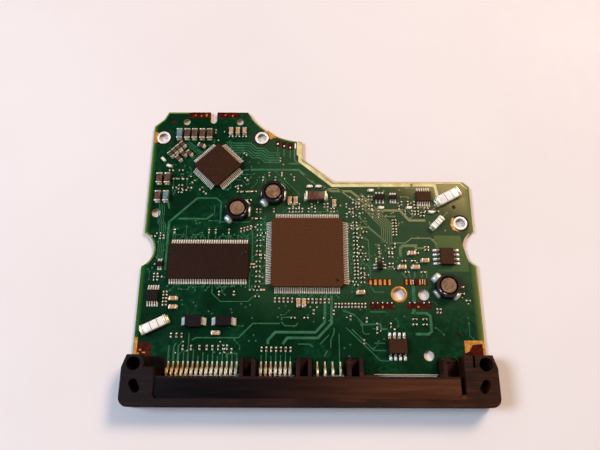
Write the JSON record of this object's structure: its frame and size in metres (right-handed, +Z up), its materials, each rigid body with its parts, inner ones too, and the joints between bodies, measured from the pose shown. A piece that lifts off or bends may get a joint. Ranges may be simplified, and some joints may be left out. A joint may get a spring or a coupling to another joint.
{
  "type": "hard disk drive circuit board",
  "caption": "Populated circuit board of a hard disk drive with moulded power and data connector, gull-wing chips and power inductors.",
  "frame": {"origin": "middle of the footprint, on the underside of the board and connector", "axes": "+X along the connector, with the power terminals towards -X; +Y away from the connector's mating face; +Z up, out of the component side"},
  "size_m": [0.0946, 0.0852, 0.0066],
  "materials": {
    "board_laminate": "green solder mask over glass-fibre laminate",
    "housing_plastic": "fine moulded",
    "contact_plating": "bright plated",
    "package_epoxy": "fine moulded, satin",
    "package_epoxy_black": "fine moulded, satin",
    "tinned_leads": "matt tin",
    "ferrite_black": "satin",
    "ferrite_tan": "ground, dull",
    "copper_wire": "enamelled",
    "ceramic_white": "glazed",
    "ceramic_brown": "satin",
    "ceramic_tan": "satin",
    "ceramic_blue": "satin",
    "resistor_black": "glazed",
    "cap_silver": "tinned",
    "bare_copper": "flashed copper"
  },
  "bodies": {
    "root": {"bulk_capacitor": "ceramic_brown", "chip_end_caps": "cap_silver", "circuit_board": "board_laminate", "connector_housing": "housing_plastic", "contact_pads": "bare_copper", "controller_body": "package_epoxy", "controller_leads": "tinned_leads", "ferrite_beads": "ceramic_white", "filter_capacitors": "ceramic_brown", "flash_body": "package_epoxy", "flash_leads": "tinned_leads", "hole_lands": "cap_silver", "inductor_drums": "ferrite_tan", "inductor_frames": "ferrite_black", "inductor_strips": "tinned_leads", "inductor_windings": "copper_wire", "jumper_pins": "contact_plating", "large_capacitors": "ceramic_brown", "medium_capacitors": "ceramic_tan", "memory_body": "package_epoxy", "memory_leads": "tinned_leads", "motor_driver_body": "package_epoxy", "motor_driver_leads": "tinned_leads", "power_switch_body": "package_epoxy", "power_switch_leads": "tinned_leads", "power_terminals": "contact_plating", "regulator_body": "package_epoxy_black", "regulator_leads": "tinned_leads", "sensor_amplifier_body": "package_epoxy", "sensor_amplifier_leads": "tinned_leads", "shock_sensor_bars": "ceramic_white", "shock_sensor_caps": "cap_silver", "signal_terminals": "contact_plating", "small_capacitors": "ceramic_brown", "small_resistors": "resistor_black", "surge_diode_bodies": "package_epoxy_black", "surge_diode_tabs": "tinned_leads", "transistor_bodies": "package_epoxy_black", "transistor_leads": "tinned_leads", "varistors": "ceramic_blue"}
  },
  "joints": []
}
